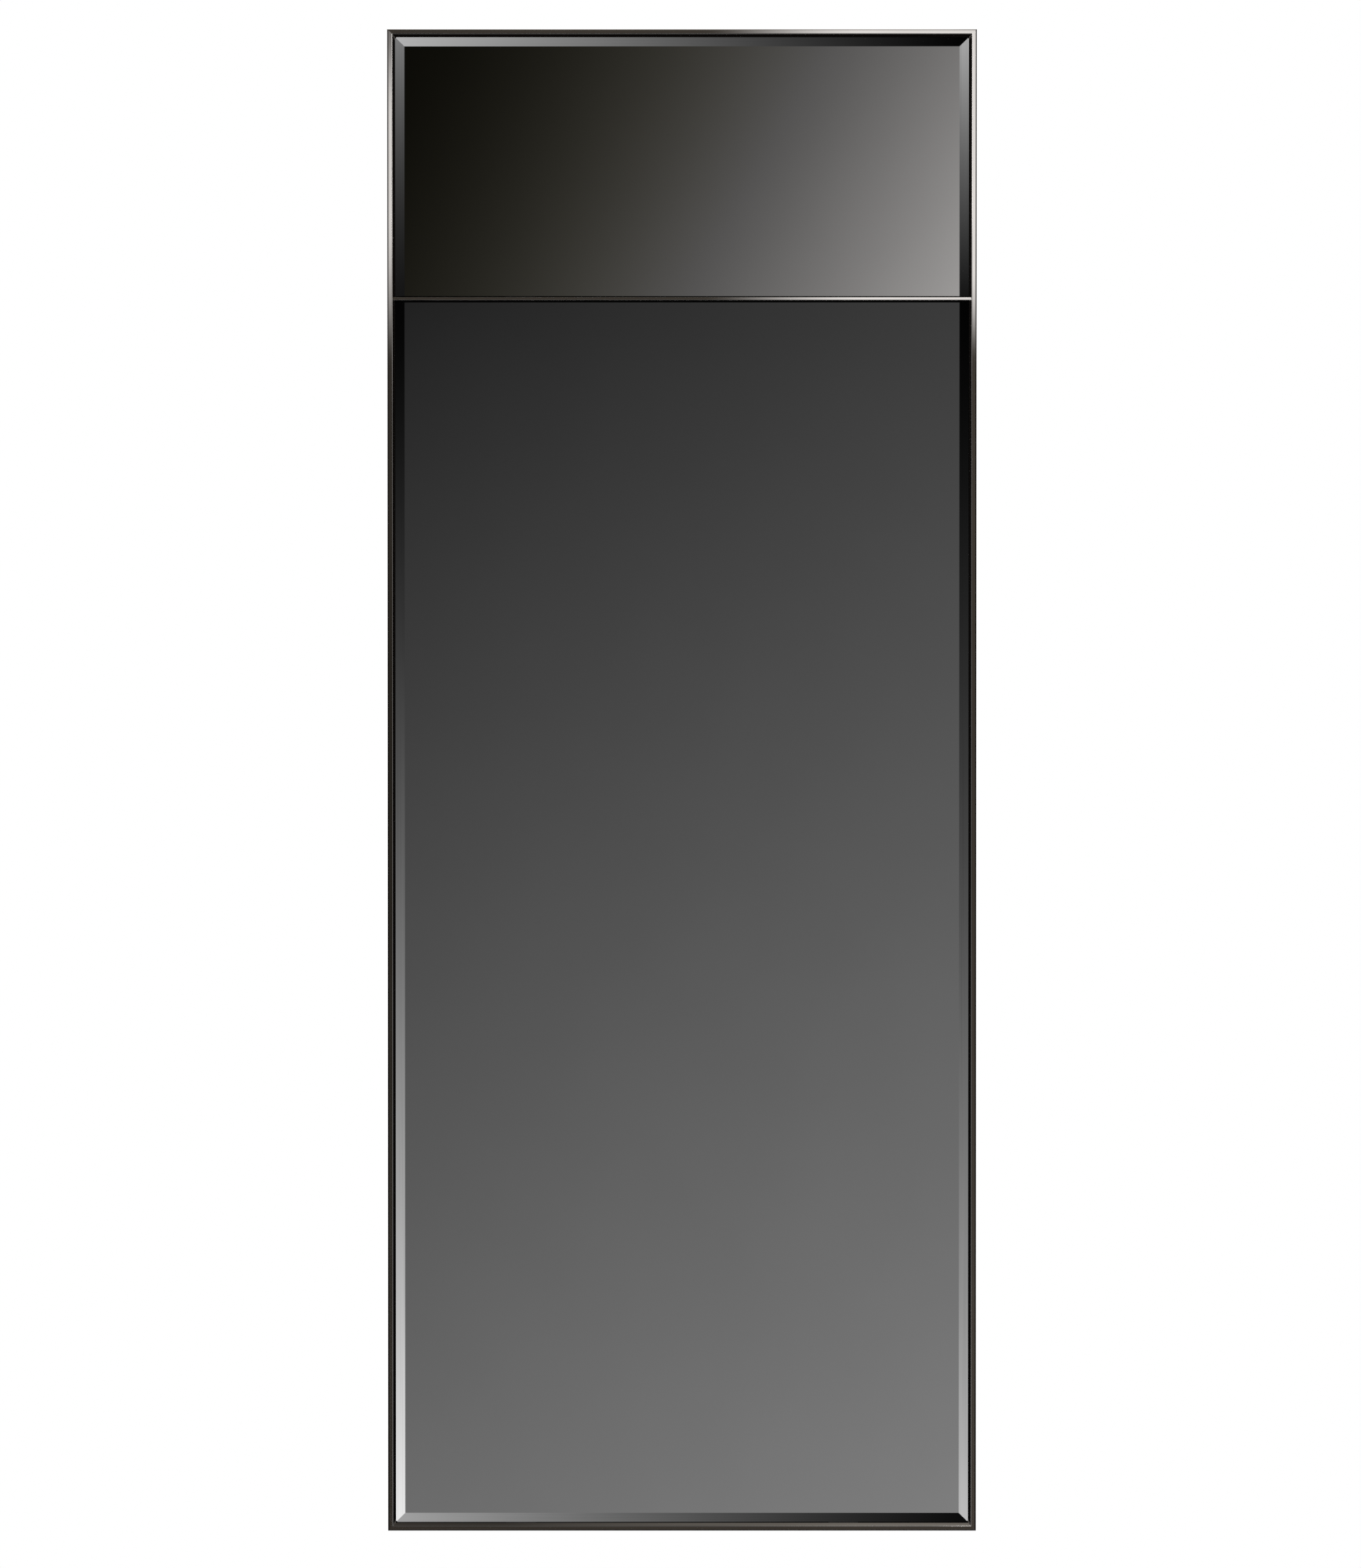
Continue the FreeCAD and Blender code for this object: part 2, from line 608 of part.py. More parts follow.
make_pane("upper_mirror_pane", UPPER_PANE_BOTTOM, UPPER_PANE_TOP, True)
make_pane("lower_mirror_pane", LOWER_PANE_BOTTOM, LOWER_PANE_TOP, False)
make_backing_film("upper_backing_film", UPPER_PANE_BOTTOM, UPPER_PANE_TOP)
make_backing_film("lower_backing_film", LOWER_PANE_BOTTOM, LOWER_PANE_TOP)
make_mounting_tape("upper_mounting_tape", UPPER_PANE_BOTTOM, UPPER_PANE_TOP)
make_mounting_tape("lower_mounting_tape", LOWER_PANE_BOTTOM, LOWER_PANE_TOP)
make_setting_blocks("upper_setting_blocks", CROSS_TOP, "Dims.upper_cross_reveal")
make_setting_blocks("lower_setting_blocks", f"{FRAME_BOTTOM} + Dims.bar_width", "Dims.bottom_reveal")


# Back panel

def frame_screw_spots(places_of, offset):
    """Places of screws on all four bars, across and up from the lower left corner of the frame."""
    sides = places_of("Dims.overall_height")
    ends = places_of("Dims.overall_width")
    spots = []
    for up in sides:
        spots.append((offset, up))
        spots.append((f"(Dims.overall_width - {offset})", up))
    for across in ends:
        spots.append((across, offset))
        spots.append((across, f"(Dims.overall_height - {offset})"))
    return spots


PANEL_SCREW_SPOTS = frame_screw_spots(panel_screw_places, LEDGE_HOLE)
PLATE_SCREW_SPOTS = frame_screw_spots(plate_screw_places, PLATE_HOLE)


def make_back_panel():
    """The board that carries the panes, with blind screw holes and open ones for the cross rail."""
    body = new_body("back_panel")
    width = f"(Dims.overall_width - 2 * {PANEL_EDGE})"
    height = f"(Dims.overall_height - 2 * {PANEL_EDGE})"
    bottom = f"({FRAME_BOTTOM} + {PANEL_EDGE})"
    outline = new_sketch(body, "outline", "XZ_Plane")
    draw_rectangle(outline, "0", "0", width, height)
    add_pad(body, outline, "Dims.panel_thickness")

    panel_holes = new_sketch(body, "panel_holes", "XZ_Plane")
    draw_circles(
        panel_holes,
        [(f"({across} - {PANEL_EDGE})", f"({up} - {PANEL_EDGE})") for across, up in PANEL_SCREW_SPOTS],
        "(Dims.panel_screw_diameter + 2 * Dims.screw_clearance)",
    )
    add_pocket(body, panel_holes, "Dims.panel_screw_bite + Dims.hole_spare_depth")

    cleat_holes = new_sketch(body, "cleat_holes", "XZ_Plane")
    draw_circles(
        cleat_holes,
        [
            (across, f"({CLEAT_SCREW_HEIGHT} - {bottom})")
            for across in spread(CLEAT_SCREWS, CLEAT_SCREW_PITCH, f"{width} / 2")
        ],
        "(Dims.cleat_screw_diameter + 2 * Dims.screw_clearance)",
    )
    add_pocket(body, cleat_holes, "Dims.cleat_screw_bite + Dims.hole_spare_depth")

    cross_holes = new_sketch(body, "cross_holes", "XZ_Plane")
    draw_circles(
        cross_holes,
        [
            (across, f"({CROSS_HEIGHT} - {bottom})")
            for across in spread(CROSS_SCREWS, CROSS_SCREW_PITCH, f"{width} / 2")
        ],
        "(Dims.cross_screw_diameter + 2 * Dims.screw_clearance)",
    )
    add_pocket(body, cross_holes)
    place(body, f"-{width} / 2", f"-{STANDOFF}", bottom)
    return keep(body)


make_back_panel()


# Bevelled cleats

def make_cleat(name, length, corners):
    """A flat rail with a bevelled edge, from the corners of its section behind its front and up."""
    body = new_body(name)
    section = new_sketch(body, "section", "YZ_Plane")
    draw_outline(section, corners)
    add_pad(body, section, length)
    return body


def add_cleat_holes(body, spots, diameter, recess_diameter, recess_back, recess_depth):
    """Screw holes through a cleat, with recesses that run forward from a plane behind its front."""
    holes = new_sketch(body, "screw_holes", "XZ_Plane")
    draw_circles(holes, spots, diameter)
    add_pocket(body, holes)
    recesses = new_sketch(body, "head_recesses", "XZ_Plane", f"-{recess_back}")
    draw_circles(recesses, spots, recess_diameter)
    add_pocket(body, recesses, recess_depth)


def make_wall_cleat():
    """The rail on the wall, with its point up and in front."""
    length = WALL_CLEAT_LENGTH
    lip_top = "(Dims.cleat_height - Dims.cleat_lip)"
    body = make_cleat("wall_cleat", length, [
        ("0", "0"),
        ("Dims.cleat_thickness", "0"),
        ("Dims.cleat_thickness", "(Dims.cleat_height - Dims.cleat_thickness)"),
        ("Dims.cleat_lip", lip_top),
        ("0", lip_top),
    ])
    spots = [
        (f"({length} / 2 {side} {spacing} / 2)", "Dims.cleat_hole_set")
        for spacing in ("Dims.stud_spacing", "Dims.anchor_spacing")
        for side in ("-", "+")
    ]
    add_cleat_holes(
        body,
        spots,
        "Dims.wall_hole_diameter",
        "Dims.wall_recess_diameter",
        "Dims.wall_recess_depth",
        "Dims.wall_recess_depth",
    )
    place(body, f"-{length} / 2", "-Dims.cleat_thickness", "-Dims.cleat_hole_set")
    return keep(body)


def make_mirror_cleat():
    """The rail on the back panel, with its point down and behind, seated on the wall cleat."""
    length = MIRROR_CLEAT_LENGTH
    body = make_cleat("mirror_cleat", length, [
        ("0", "Dims.cleat_thickness"),
        ("(Dims.cleat_thickness - Dims.cleat_lip)", "Dims.cleat_lip"),
        ("Dims.cleat_thickness", "Dims.cleat_lip"),
        ("Dims.cleat_thickness", "Dims.cleat_height"),
        ("0", "Dims.cleat_height"),
    ])
    hole_height = "(Dims.cleat_height - Dims.cleat_hole_set)"
    places = spread(CLEAT_SCREWS, CLEAT_SCREW_PITCH, f"{length} / 2")
    add_cleat_holes(
        body,
        [(across, hole_height) for across in places],
        "(Dims.cleat_screw_diameter + 2 * Dims.screw_clearance)",
        "(Dims.cleat_screw_head + 2 * Dims.cleat_recess_play)",
        "Dims.cleat_thickness",
        CLEAT_RECESS_DEPTH,
    )
    place(body, f"-{length} / 2", f"-{STANDOFF}", MIRROR_CLEAT_POINT)
    return keep(body)


make_wall_cleat()
make_mirror_cleat()


# Spacer pads

def make_spacer_pad(name, across):
    """A rubber pad between the lower part of the back panel and the wall."""
    body = new_body(name)
    disc = new_sketch(body, "disc", "XZ_Plane")
    draw_circles(disc, [("0", "0")], "Dims.pad_diameter")
    pad = add_pad(body, disc, STANDOFF)

    def is_wall_edge(edge):
        return near(edge.BoundBox.YMin, "0") and near(edge.BoundBox.YMax, "0")

    add_fillet(body, pad, "Dims.pad_rounding", is_wall_edge)
    place(body, across, "0", f"{FRAME_BOTTOM} + Dims.pad_inset_bottom")
    return keep(body)


make_spacer_pad("left_spacer_pad", f"{LEFT} + Dims.pad_inset_side")
make_spacer_pad("right_spacer_pad", f"{RIGHT} - Dims.pad_inset_side")


# Screws, all driven from behind

def make_screw(kind, length):
    """One screw along Y, with its tip at the origin and its head at the back."""
    body = new_body(f"{kind}_pattern")
    shank = f"Dims.{kind}_diameter / 2"
    head = f"Dims.{kind}_head / 2"
    top = f"({length} + Dims.{kind}_head_height)"
    section = new_sketch(body, "section", "XY_Plane")
    draw_outline(section, [
        ("0", "0"),
        (shank, "Dims.screw_tip"),
        (shank, length),
        (head, length),
        (head, f"({length} + Dims.{kind}_head_height / 2)"),
        (f"({head} - Dims.{kind}_head_height / 2)", top),
        ("0", top),
    ])
    turned = body.newObject("PartDesign::Revolution", f"{kind}_turned")
    turned.Profile = section
    turned.ReferenceAxis = (section, ["V_Axis"])
    doc.recompute()
    for slot, size in (
        ("level_slot", ("Dims.recess_length", "Dims.recess_width")),
        ("upright_slot", ("Dims.recess_width", "Dims.recess_length")),
    ):
        sketch = new_sketch(body, slot, "XZ_Plane", f"-{top}")
        draw_centred_rectangle(sketch, *size)
        add_pocket(body, sketch, "Dims.recess_depth")
    return body


def make_screw_group(name, kind, length, seat, spots):
    """Copies of one screw with their heads on a seat, as one sub-part of separate solids."""
    pattern = make_screw(kind, length)
    copies = []
    for index, (across, up) in enumerate(spots, start=1):
        screw = doc.addObject("App::Link", f"{name}_{index}")
        screw.LinkedObject = pattern
        place(screw, across, f"{seat} - {length}", up)
        copies.append(screw)
    return keep(add_group(name, copies))


def from_middle(spots):
    """Places counted from the lower left corner of the frame, moved to the mirror's own axes."""
    return [(f"{across} - Dims.overall_width / 2", f"{up} + {FRAME_BOTTOM}") for across, up in spots]


make_screw_group(
    "panel_screws",
    "panel_screw",
    "(Dims.ledge_thickness + Dims.panel_screw_bite)",
    f"-{FRAME_BACK}",
    from_middle(PANEL_SCREW_SPOTS),
)
make_screw_group(
    "corner_plate_screws",
    "plate_screw",
    "(Dims.plate_thickness + Dims.ledge_thickness)",
    f"Dims.plate_thickness - {FRAME_BACK}",
    from_middle(PLATE_SCREW_SPOTS),
)
make_screw_group(
    "mirror_cleat_screws",
    "cleat_screw",
    f"(Dims.cleat_thickness - {CLEAT_RECESS_DEPTH} + Dims.cleat_screw_bite)",
    f"Dims.cleat_thickness - {CLEAT_RECESS_DEPTH} - {STANDOFF}",
    [(across, CLEAT_SCREW_HEIGHT) for across in spread(CLEAT_SCREWS, CLEAT_SCREW_PITCH, "0")],
)
make_screw_group(
    "cross_rail_screws",
    "cross_screw",
    f"(Dims.panel_thickness + {FLANGE_THICKNESS} + Dims.cross_screw_bite)",
    f"-{STANDOFF}",
    [(across, CROSS_HEIGHT) for across in spread(CROSS_SCREWS, CROSS_SCREW_PITCH, "0")],
)


# Check the document and write the sub-parts

doc.recompute()
for thing in doc.Objects:
    if "Invalid" in thing.State or "Error" in thing.State:
        raise RuntimeError(f"{thing.Name} did not compute: {thing.State}")
for thing in subparts:
    if thing.Shape.isNull() or not thing.Shape.isValid():
        raise RuntimeError(f"{thing.Label} has no valid shape")

os.makedirs("parts", exist_ok=True)
for thing in subparts:
    thing.Shape.exportStep(os.path.join("parts", f"{thing.Label}.step"))
print(f"{len(subparts)} sub-parts written")
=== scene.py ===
import math
from collections import namedtuple

import bpy
from mathutils import Color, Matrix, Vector


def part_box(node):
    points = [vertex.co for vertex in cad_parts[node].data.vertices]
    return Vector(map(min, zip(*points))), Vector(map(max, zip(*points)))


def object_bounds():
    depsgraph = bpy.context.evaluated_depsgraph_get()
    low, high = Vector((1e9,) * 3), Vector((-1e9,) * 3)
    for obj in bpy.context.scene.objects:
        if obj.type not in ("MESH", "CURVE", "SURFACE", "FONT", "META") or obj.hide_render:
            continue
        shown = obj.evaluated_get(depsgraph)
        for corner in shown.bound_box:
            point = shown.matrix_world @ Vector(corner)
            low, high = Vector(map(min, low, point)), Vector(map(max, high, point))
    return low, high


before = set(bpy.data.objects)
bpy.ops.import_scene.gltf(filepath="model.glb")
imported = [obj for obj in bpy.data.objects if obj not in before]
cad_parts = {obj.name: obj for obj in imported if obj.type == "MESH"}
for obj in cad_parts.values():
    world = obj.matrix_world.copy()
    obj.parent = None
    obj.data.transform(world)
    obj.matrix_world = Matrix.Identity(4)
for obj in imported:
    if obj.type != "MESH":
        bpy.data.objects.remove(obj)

# A tall wall mirror: two silvered panes with bevelled outer edges in a slim polished frame, on a
# plywood back that hangs on a pair of cleats. Metres, with the wall at y = 0, the mirror facing -Y
# and +Z up. The solids come from model.glb, and this script gives them their finishes and a studio.

cad_low, cad_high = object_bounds()
centre = (cad_low + cad_high) / 2
scene = bpy.context.scene

# The mirror in the photograph, in its pixels
PHOTO_WIDTH = 1736
PHOTO_HEIGHT = 2000
MIRROR_LEFT = 494.6
MIRROR_RIGHT = 1245.2
MIRROR_TOP = 36.4
MIRROR_BOTTOM = 1953.0

# Camera
CAMERA_DISTANCE = 3.5
CAMERA_PITCH = math.radians(0.35)
SENSOR_MILLIMETRES = 36

# Display tones: the brightest one, and the curve that turns them into light
DISPLAY_WHITE = 255
DISPLAY_OFFSET = 0.055
DISPLAY_POWER = 2.4

# Surfaces: the least that a front or a back points along Y, the least that a bevel slopes, the range
# that noise mostly keeps to with its middle, and the share of light that silver sends back
FACING_LIMIT = 0.5
BEVEL_SLOPE = 0.05
NOISE_LOW = 0.3
NOISE_MIDDLE = 0.5
NOISE_HIGH = 0.7
SILVER_REFLECTANCE = 0.94

# Cards that the panes reflect
CARD_DISTANCE = 2.0
CARD_MARGIN = 0.004
WIDE_FEATHER = 0.12
OUTER_FEATHER = 0.006
JOINT_FEATHER = 0.002

# Room in front of the mirror
SURROUND_DISTANCE = 2.2
SURROUND_HALF_WIDTH = 3.6
SURROUND_BOTTOM = -3.35
SURROUND_TOP = 2.8
ROOM_BACK = 0.1

# Flags beside and below the frame. The stops say how far ahead of the frame a flag stops being grey,
# is black, starts to fade and is gone. The bottom flag is gone before it would turn black, and the
# edge cards begin where they are black already.
SIDE_FLAG_GAP = 0.2
SIDE_FLAG_BACK = 0.22
SIDE_FLAG_STOPS = (0.06, 0.085, 0.13, 0.16)
BOTTOM_FLAG_GAP = 0.09
BOTTOM_FLAG_BACK = 0.1
BOTTOM_FLAG_STOPS = (0.1, 0.2, 0, 0.03)
EDGE_CARD_GAP = 0.005
EDGE_CARD_BACK = 0.004
EDGE_CARD_STOPS = (-0.02, -0.01, 0.007, 0.011)
FLAG_OVERLAP = 0.3

# Dark pool on the floor of that room
POOL_AHEAD = 1.04
POOL_HALF_WIDTH = 1.0
POOL_HALF_DEPTH = 0.5
POOL_SPREAD = 2.2

# Floor, lamps and world
FLOOR_HEIGHT = -3.4
FLOOR_RADIUS = 4.6
FLOOR_SIDES = 96
FRONT_LAMP_PLACE = (-2.0, -3.2, 1.6)
BACK_LAMP_PLACE = (1.8, 3.0, 1.4)
LAMP_SIZE = 2.5
LAMP_POWER = 90
WORLD_FILL = 0.55


# Nodes of a material

def fill(tree, node, sockets):
    """Sets or links the inputs of a node."""
    for name, value in sockets.items():
        if isinstance(value, bpy.types.NodeSocket):
            tree.links.new(value, node.inputs[name])
        else:
            node.inputs[name].default_value = value
    return node


def add(tree, kind, sockets=None, **settings):
    """A shader node with its settings and inputs."""
    node = tree.nodes.new(f"ShaderNode{kind}")
    for name, setting in settings.items():
        setattr(node, name, setting)
    return fill(tree, node, sockets or {})


def calculate(tree, operation, *numbers):
    """One operation, carried on through all its numbers."""
    result = numbers[0]
    for number in numbers[1:]:
        result = add(tree, "Math", {0: result, 1: number}, operation=operation).outputs["Value"]
    return result


def change(tree, operation, number):
    """One number, changed by an operation."""
    return add(tree, "Math", {0: number}, operation=operation).outputs["Value"]


def between(tree, factor, low, high, start=0, end=1, smooth=False):
    """A factor from start to end, stretched to run from low to high."""
    kind = "SMOOTHSTEP" if smooth else "LINEAR"
    sockets = {"Value": factor, "From Min": start, "From Max": end, "To Min": low, "To Max": high}
    return add(tree, "MapRange", sockets, interpolation_type=kind).outputs["Result"]


def soft_edge(tree, number, start, end):
    """0 at start and 1 at end, with a smooth change between them."""
    return between(tree, number, 0, 1, start=start, end=end, smooth=True)


def places(tree):
    """Where a point of the object lies, in metres."""
    return add(tree, "TexCoord").outputs["Object"]


def normals(tree):
    """Which way the surface faces."""
    return add(tree, "NewGeometry").outputs["Normal"]


def axes(tree, vector):
    """The parts of a vector, by the name of their axis."""
    return add(tree, "SeparateXYZ", {"Vector": vector}).outputs


def even(scale):
    """The same number of grains along each axis."""
    return (scale, scale, scale)


def noise(tree, scale, detail=2):
    """Noise with its own number of grains to the metre along each axis."""
    spread = add(tree, "Mapping", {"Vector": places(tree), "Scale": scale}).outputs["Vector"]
    return add(tree, "TexNoise", {"Vector": spread, "Scale": 1, "Detail": detail}).outputs["Fac"]


def fine_lines(tree, across, along, is_upright, detail=3):
    """Noise drawn out into lines, from its grains to the metre across and along them."""
    scale = (across, across, along) if is_upright else (along, across, across)
    return noise(tree, scale, detail)


def ramp(tree, factor, stops, interpolation="LINEAR"):
    """Colours along a factor, from pairs of a place and a colour."""
    node = add(tree, "ValToRGB", {"Fac": factor})
    node.color_ramp.interpolation = interpolation
    elements = node.color_ramp.elements
    for index, (position, tint) in enumerate(stops):
        element = elements[index] if index < len(elements) else elements.new(position)
        element.position = position
        element.color = tint
    return node.outputs["Color"]


def toned(tree, factor, codes, positions=(0, 1)):
    """Colours along a factor, from their display digits and their places."""
    return ramp(tree, factor, [(position, colour(code)) for position, code in zip(positions, codes)])


def mottled(tree, grains, dark, light, start=NOISE_LOW, end=NOISE_HIGH):
    """Two colours that change into each other with noise."""
    return ramp(tree, grains, [(start, dark), (end, light)])


def blend(tree, factor, first, second, mode="MIX"):
    """Two colours mixed by a factor."""
    node = add(tree, "MixRGB", {"Fac": factor, "Color1": first, "Color2": second}, blend_type=mode)
    return node.outputs["Color"]


def shaded(tree, tint, shade):
    """A colour darkened by a shade."""
    return blend(tree, 1, tint, shade, "MULTIPLY")


def bump(tree, height, depth):
    """Relief of a given depth in metres."""
    return add(tree, "Bump", {"Height": height, "Distance": depth, "Strength": 1}).outputs["Normal"]


def colour(code):
    """A colour from its six display digits."""
    channels = [channel / DISPLAY_WHITE for channel in bytes.fromhex(code)]
    return (*Color(channels).from_srgb_to_scene_linear(), 1)


def grey(level):
    """A plain number as a colour."""
    return (level, level, level, 1)


def new_material(name):
    """A material with its node tree and its surface shader."""
    material = bpy.data.materials.new(name)
    material.use_nodes = True
    return material, material.node_tree, material.node_tree.nodes["Principled BSDF"]


# Finishes

def painted_shade_behind_glass(tree):
    """Mask of painted shade: 1 on the metal beside and between the panes, behind their face, and 0
    elsewhere.
    """
    side_allowance = 0.0006
    face_allowance = 0.0007
    panel_low, panel_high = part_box("back_panel")
    glass_low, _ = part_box("upper_mirror_pane")
    place = axes(tree, places(tree))
    aside = change(tree, "ABSOLUTE", place["X"])
    tests = (
        calculate(tree, "LESS_THAN", aside, panel_high.x + side_allowance),
        calculate(tree, "LESS_THAN", place["Z"], panel_high.z + side_allowance),
        calculate(tree, "GREATER_THAN", place["Z"], panel_low.z - side_allowance),
        calculate(tree, "LESS_THAN", place["Y"], panel_low.y),
        calculate(tree, "GREATER_THAN", place["Y"], glass_low.y + face_allowance),
    )
    return calculate(tree, "MULTIPLY", *tests)


def polished_metal(name, is_upright):
    """Bright warm metal, polished along the bar, with painted shade: near black where it lies behind the
    glass.
    """
    lines_across = 900
    lines_along = 4
    line_tone = 0.84
    line_start, line_end = 0.35, 0.6
    cloud_scale = 5
    smoothest, roughest = 0.02, 0.05
    # How rough the painted shade behind the glass is
    painted_shade_roughness = 0.85
    material, tree, shader = new_material(name)
    lines = fine_lines(tree, lines_across, lines_along, is_upright)
    clouds = noise(tree, even(cloud_scale))
    # Painted shade: the metal in the recess behind the glass is coloured near black, dull and not
    # metallic, in place of its shade
    black = painted_shade_behind_glass(tree)
    tone = mottled(tree, clouds, colour("e6e3e0"), colour("eeebe9"))
    brushing = mottled(tree, lines, grey(line_tone), grey(1), line_start, line_end)
    # The near-black colour of that painted shade, streaked along the polish
    paint = mottled(tree, lines, colour("060606"), colour("0c0c0c"))
    polish = between(tree, lines, smoothest, roughest)
    dullness = calculate(tree, "MULTIPLY", black, painted_shade_roughness)
    fill(tree, shader, {
        "Metallic": calculate(tree, "SUBTRACT", 1, black),
        "Base Color": blend(tree, black, shaded(tree, tone, brushing), paint),
        "Roughness": calculate(tree, "MAXIMUM", polish, dullness),
    })
    return material


def ground_streaks(tree, facing):
    """Fine streaks of the grinding wheel along each bevel, and the middle of noise on the flat face."""
    streaks_across = 700
    streaks_along = 3
    upright = fine_lines(tree, streaks_across, streaks_along, True)
    level = fine_lines(tree, streaks_across, streaks_along, False)
    is_beside = calculate(tree, "GREATER_THAN", change(tree, "ABSOLUTE", facing["X"]), BEVEL_SLOPE)
    is_level = calculate(tree, "GREATER_THAN", change(tree, "ABSOLUTE", facing["Z"]), BEVEL_SLOPE)
    return blend(tree, is_level, blend(tree, is_beside, grey(NOISE_MIDDLE), upright), level)


def silvered_glass():
    """Mirror on the face and the bevels, dark green glass on the edges, grey paint behind."""
    haze_scale = 7
    haziest = 0.012
    streak_tone = 0.9
    streak_start, streak_end = 0.3, 0.5
    fleck_scale = 260
    edge_start, edge_end = 0.35, 0.65
    edge_roughness = 0.12
    paint_start, paint_end = 0.4, 0.6
    paint_roughness = 0.45
    material, tree, shader = new_material("silvered_glass")
    facing = axes(tree, normals(tree))
    side = between(tree, facing["Y"], 0, 1, start=-1)

    def by_side(face, edge, back):
        stops = [(0, face), ((1 - FACING_LIMIT) / 2, edge), ((1 + FACING_LIMIT) / 2, back)]
        return ramp(tree, side, stops, "CONSTANT")

    haze = noise(tree, even(haze_scale), detail=4)
    flecks = noise(tree, even(fleck_scale))
    clear_silver = mottled(tree, haze, colour("f6f6f6"), colour("f9f9f9"))
    streaks = ground_streaks(tree, facing)
    dimming = mottled(tree, streaks, grey(streak_tone), grey(1), streak_start, streak_end)
    silver = shaded(tree, clear_silver, dimming)
    edge = mottled(tree, flecks, colour("0e1613"), colour("1a2621"), edge_start, edge_end)
    paint = mottled(tree, flecks, colour("5d5f60"), colour("696b6c"), paint_start, paint_end)
    is_edge = by_side(grey(0), grey(1), grey(0))
    is_back = by_side(grey(0), grey(0), grey(1))
    dullness = by_side(grey(0), grey(edge_roughness), grey(paint_roughness))
    fill(tree, shader, {
        "Metallic": by_side(grey(1), grey(0), grey(0)),
        "Base Color": blend(tree, is_back, blend(tree, is_edge, silver, edge), paint),
        "Roughness": calculate(tree, "ADD", dullness, between(tree, haze, 0, haziest)),
    })
    return material


def plywood():
    """Birch plywood: black paint on the front, grain behind, and plies on the edges."""
    figure_scale = (14, 14, 0.9)
    band_count = 16.8
    band_share = 0.35
    ring_scale = (75, 75, 2.2)
    pore_scale = (1500, 1500, 45)
    pore_depth = 6e-5
    wood_places = (0.2, 0.5, 0.85)
    vein_tone = 0.72
    vein_start, vein_end = 0.3, 0.5
    ply_count = 7
    smoothest, roughest = 0.5, 0.72
    material, tree, shader = new_material("birch_plywood")
    facing = axes(tree, normals(tree))["Y"]
    figure = noise(tree, figure_scale, detail=3)
    bands = change(tree, "FRACT", calculate(tree, "MULTIPLY", figure, band_count))
    rings = noise(tree, ring_scale)
    pores = noise(tree, pore_scale)
    grain = calculate(
        tree,
        "ADD",
        calculate(tree, "MULTIPLY", bands, band_share),
        calculate(tree, "MULTIPLY", rings, 1 - band_share),
    )
    wood = toned(tree, grain, ("c49c6c", "d8b88c", "e3c9a2"), wood_places)
    veins = mottled(tree, pores, grey(vein_tone), grey(1), vein_start, vein_end)

    # Dark and light plies by turns
    panel_low, panel_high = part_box("back_panel")
    depth = axes(tree, places(tree))["Y"]
    ply = between(tree, depth, 0, ply_count, start=panel_low.y, end=panel_high.y)
    is_light = calculate(tree, "GREATER_THAN", calculate(tree, "MODULO", ply, 2), 1)
    plies = blend(tree, is_light, colour("8f6a45"), colour("d2b084"))

    paint = mottled(tree, pores, colour("070707"), colour("0e0e0e"))
    is_back = calculate(tree, "GREATER_THAN", facing, FACING_LIMIT)
    is_front = calculate(tree, "LESS_THAN", facing, -FACING_LIMIT)
    bare = shaded(tree, blend(tree, is_back, plies, wood), veins)
    fill(tree, shader, {
        "Base Color": blend(tree, is_front, bare, paint),
        "Roughness": between(tree, rings, smoothest, roughest),
        "Normal": bump(tree, pores, pore_depth),
    })
    return material


def mill_metal():
    """Extruded aluminium with its die lines along the rail."""
    lines_across = 1700
    lines_along = 2.5
    line_depth = 1.5e-5
    cloud_scale = 22
    smoothest, roughest = 0.24, 0.42
    material, tree, shader = new_material("mill_aluminium_lines")
    lines = fine_lines(tree, lines_across, lines_along, False, detail=4)
    clouds = noise(tree, even(cloud_scale), detail=3)
    fill(tree, shader, {
        "Metallic": 1,
        "Base Color": mottled(tree, clouds, colour("d3d5d8"), colour("e2e4e6")),
        "Roughness": between(tree, lines, smoothest, roughest),
        "Normal": bump(tree, lines, line_depth),
    })
    return material


def zinc_plate():
    """Zinc plated steel, with a faint bluish and yellowish cast from patch to patch."""
    patch_scale = 190
    grain_scale = 1400
    grain_depth = 1e-5
    smoothest, roughest = 0.25, 0.42
    material, tree, shader = new_material("zinc_plate")
    patches = noise(tree, even(patch_scale), detail=3)
    grains = noise(tree, even(grain_scale))
    cast_places = (NOISE_LOW, NOISE_MIDDLE, NOISE_HIGH)
    fill(tree, shader, {
        "Metallic": 1,
        "Base Color": toned(tree, patches, ("c3cad2", "cfd2d3", "d6d2c4"), cast_places),
        "Roughness": between(tree, grains, smoothest, roughest),
        "Normal": bump(tree, grains, grain_depth),
    })
    return material


def matt_sheet(name, dark, light, scale, depth, smoothest):
    """A matt material with fine grain: rubber, foam or film."""
    roughness_range = 0.15
    material, tree, shader = new_material(name)
    grain = noise(tree, even(scale), detail=4)
    fill(tree, shader, {
        "Base Color": mottled(tree, grain, colour(dark), colour(light)),
        "Roughness": between(tree, grain, smoothest, smoothest + roughness_range),
        "Normal": bump(tree, grain, depth),
    })
    return material


def black_rubber():
    """Setting blocks and spacer pads."""
    return matt_sheet("black_rubber_grain", "0f0f10", "1c1c1d", scale=900, depth=8e-5, smoothest=0.7)


def foam_tape():
    """The tape that bonds the panes."""
    return matt_sheet("foam_tape_cells", "2a2a2b", "3c3c3d", scale=1600, depth=1e-4, smoothest=0.8)


def backing_film():
    """The film behind the silver."""
    return matt_sheet("backing_film_grain", "7c8084", "8b8f93", scale=500, depth=2e-5, smoothest=0.4)


